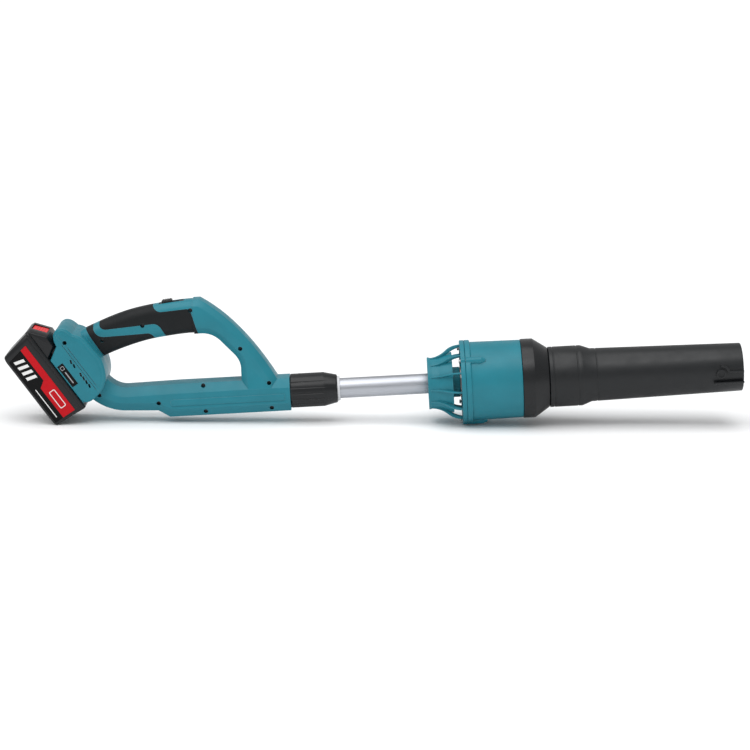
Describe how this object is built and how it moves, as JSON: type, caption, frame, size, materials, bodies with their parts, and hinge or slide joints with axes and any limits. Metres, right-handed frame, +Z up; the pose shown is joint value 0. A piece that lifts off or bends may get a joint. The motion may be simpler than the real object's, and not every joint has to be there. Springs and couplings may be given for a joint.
{
  "type": "cordless leaf blower",
  "caption": "Long-reach cordless leaf blower: slide-on battery pack, closed D-handle with slide switch, twist-lock telescoping tube, ducted axial fan and tapered bayonet nozzle.",
  "frame": {"origin": "centre of the bounding box at the level of the surface it lies on", "axes": "+X towards the nozzle's mouth, +Y to the user's left, +Z up; the tube's axis climbs 3.63 degrees towards +X because the tool lies on the pack's lower edge and the fan flange"},
  "size_m": [1.0198, 0.1148, 0.1734],
  "materials": {
    "teal_plastic": "satin moulded",
    "black_plastic": "satin moulded",
    "grip_rubber": "fine-textured overmould",
    "printed_label": "printed film",
    "red_plastic": "moulded",
    "pale_plastic": "moulded",
    "tube_aluminium": "satin drawn",
    "bright_steel": "zinc plated",
    "black_steel": "black oxide",
    "contact_copper": "bright",
    "circuit_board": "solder resist",
    "cell_wrap": "shrink-wrapped cells",
    "lead_sheath": "smooth"
  },
  "bodies": {
    "handle": {"right_shell": "teal_plastic", "left_shell": "teal_plastic", "right_rear_grip": "grip_rubber", "right_front_grip": "grip_rubber", "left_rear_grip": "grip_rubber", "left_front_grip": "grip_rubber", "right_badge": "printed_label", "left_badge": "printed_label", "shell_screw_1": "black_steel", "shell_screw_2": "black_steel", "shell_screw_3": "black_steel", "shell_screw_4": "black_steel", "shell_screw_5": "black_steel", "shell_screw_6": "black_steel", "shell_screw_7": "black_steel", "shell_screw_8": "black_steel", "shell_screw_9": "black_steel", "shell_screw_10": "black_steel", "shell_screw_11": "black_steel", "terminal_block": "black_plastic", "right_contact_blade": "contact_copper", "left_contact_blade": "contact_copper", "control_board": "circuit_board", "slide_switch": "black_plastic", "switch_plate": "black_plastic", "handle_lead": "lead_sheath", "collet": "pale_plastic"},
    "collar": {"twist_collar": "black_plastic"},
    "boom": {"boom_tube": "tube_aluminium", "tube_bush": "black_plastic", "motor_lead": "lead_sheath", "intake_guard": "teal_plastic", "fan_housing": "teal_plastic", "outlet_cone": "black_plastic", "stator": "black_plastic", "motor_can": "bright_steel", "motor_endcap": "black_plastic", "motor_plate": "bright_steel", "motor_screw_1": "black_steel", "motor_screw_2": "black_steel", "flange_screw_1": "bright_steel", "flange_screw_2": "bright_steel", "flange_screw_3": "bright_steel", "flange_screw_4": "bright_steel"},
    "rotor": {"motor_shaft": "bright_steel", "armature": "contact_copper", "impeller": "black_plastic", "impeller_nut": "bright_steel"},
    "nozzle": {"nozzle_tube": "black_plastic"},
    "slider": {"switch_slider": "black_plastic"},
    "battery": {"battery_case": "black_plastic", "battery_cover": "black_plastic", "right_battery_label": "printed_label", "left_battery_label": "printed_label", "lower_cell_row": "cell_wrap", "upper_cell_row": "cell_wrap", "battery_board": "circuit_board", "battery_terminals": "contact_copper"},
    "latch": {"release_button": "red_plastic", "latch_spring": "bright_steel"}
  },
  "joints": [
    {"name": "collar_twist", "type": "hinge", "parent": "handle", "child": "collar", "pos_m": [-0.08734, 0, 0.04518], "axis": [0.998, 0, 0.0634], "range_deg": [0, 90]},
    {"name": "boom_slide", "type": "slide", "parent": "handle", "child": "boom", "axis": [0.998, 0, 0.0634], "range_m": [-0.06, 0.08]},
    {"name": "fan_spin", "type": "hinge", "parent": "boom", "child": "rotor", "pos_m": [0.13821, 0, 0.0595], "axis": [0.998, 0, 0.0634], "continuous": true},
    {"name": "nozzle_twist", "type": "hinge", "parent": "boom", "child": "nozzle", "pos_m": [0.26695, 0, 0.06768], "axis": [0.998, 0, 0.0634], "range_deg": [0, 25]},
    {"name": "switch_slide", "type": "slide", "parent": "handle", "child": "slider", "axis": [0.9873, 0, 0.1587], "range_m": [0, 0.008]},
    {"name": "battery_slide", "type": "slide", "parent": "handle", "child": "battery", "axis": [-0.5967, 0, 0.8025], "range_m": [0, 0.1]},
    {"name": "latch_press", "type": "slide", "parent": "battery", "child": "latch", "axis": [-0.2414, 0, -0.9704], "range_m": [0, 0.003], "stiffness_N_per_m": 1500, "springref_m": -0.002, "deforming": ["latch_spring"]}
  ]
}
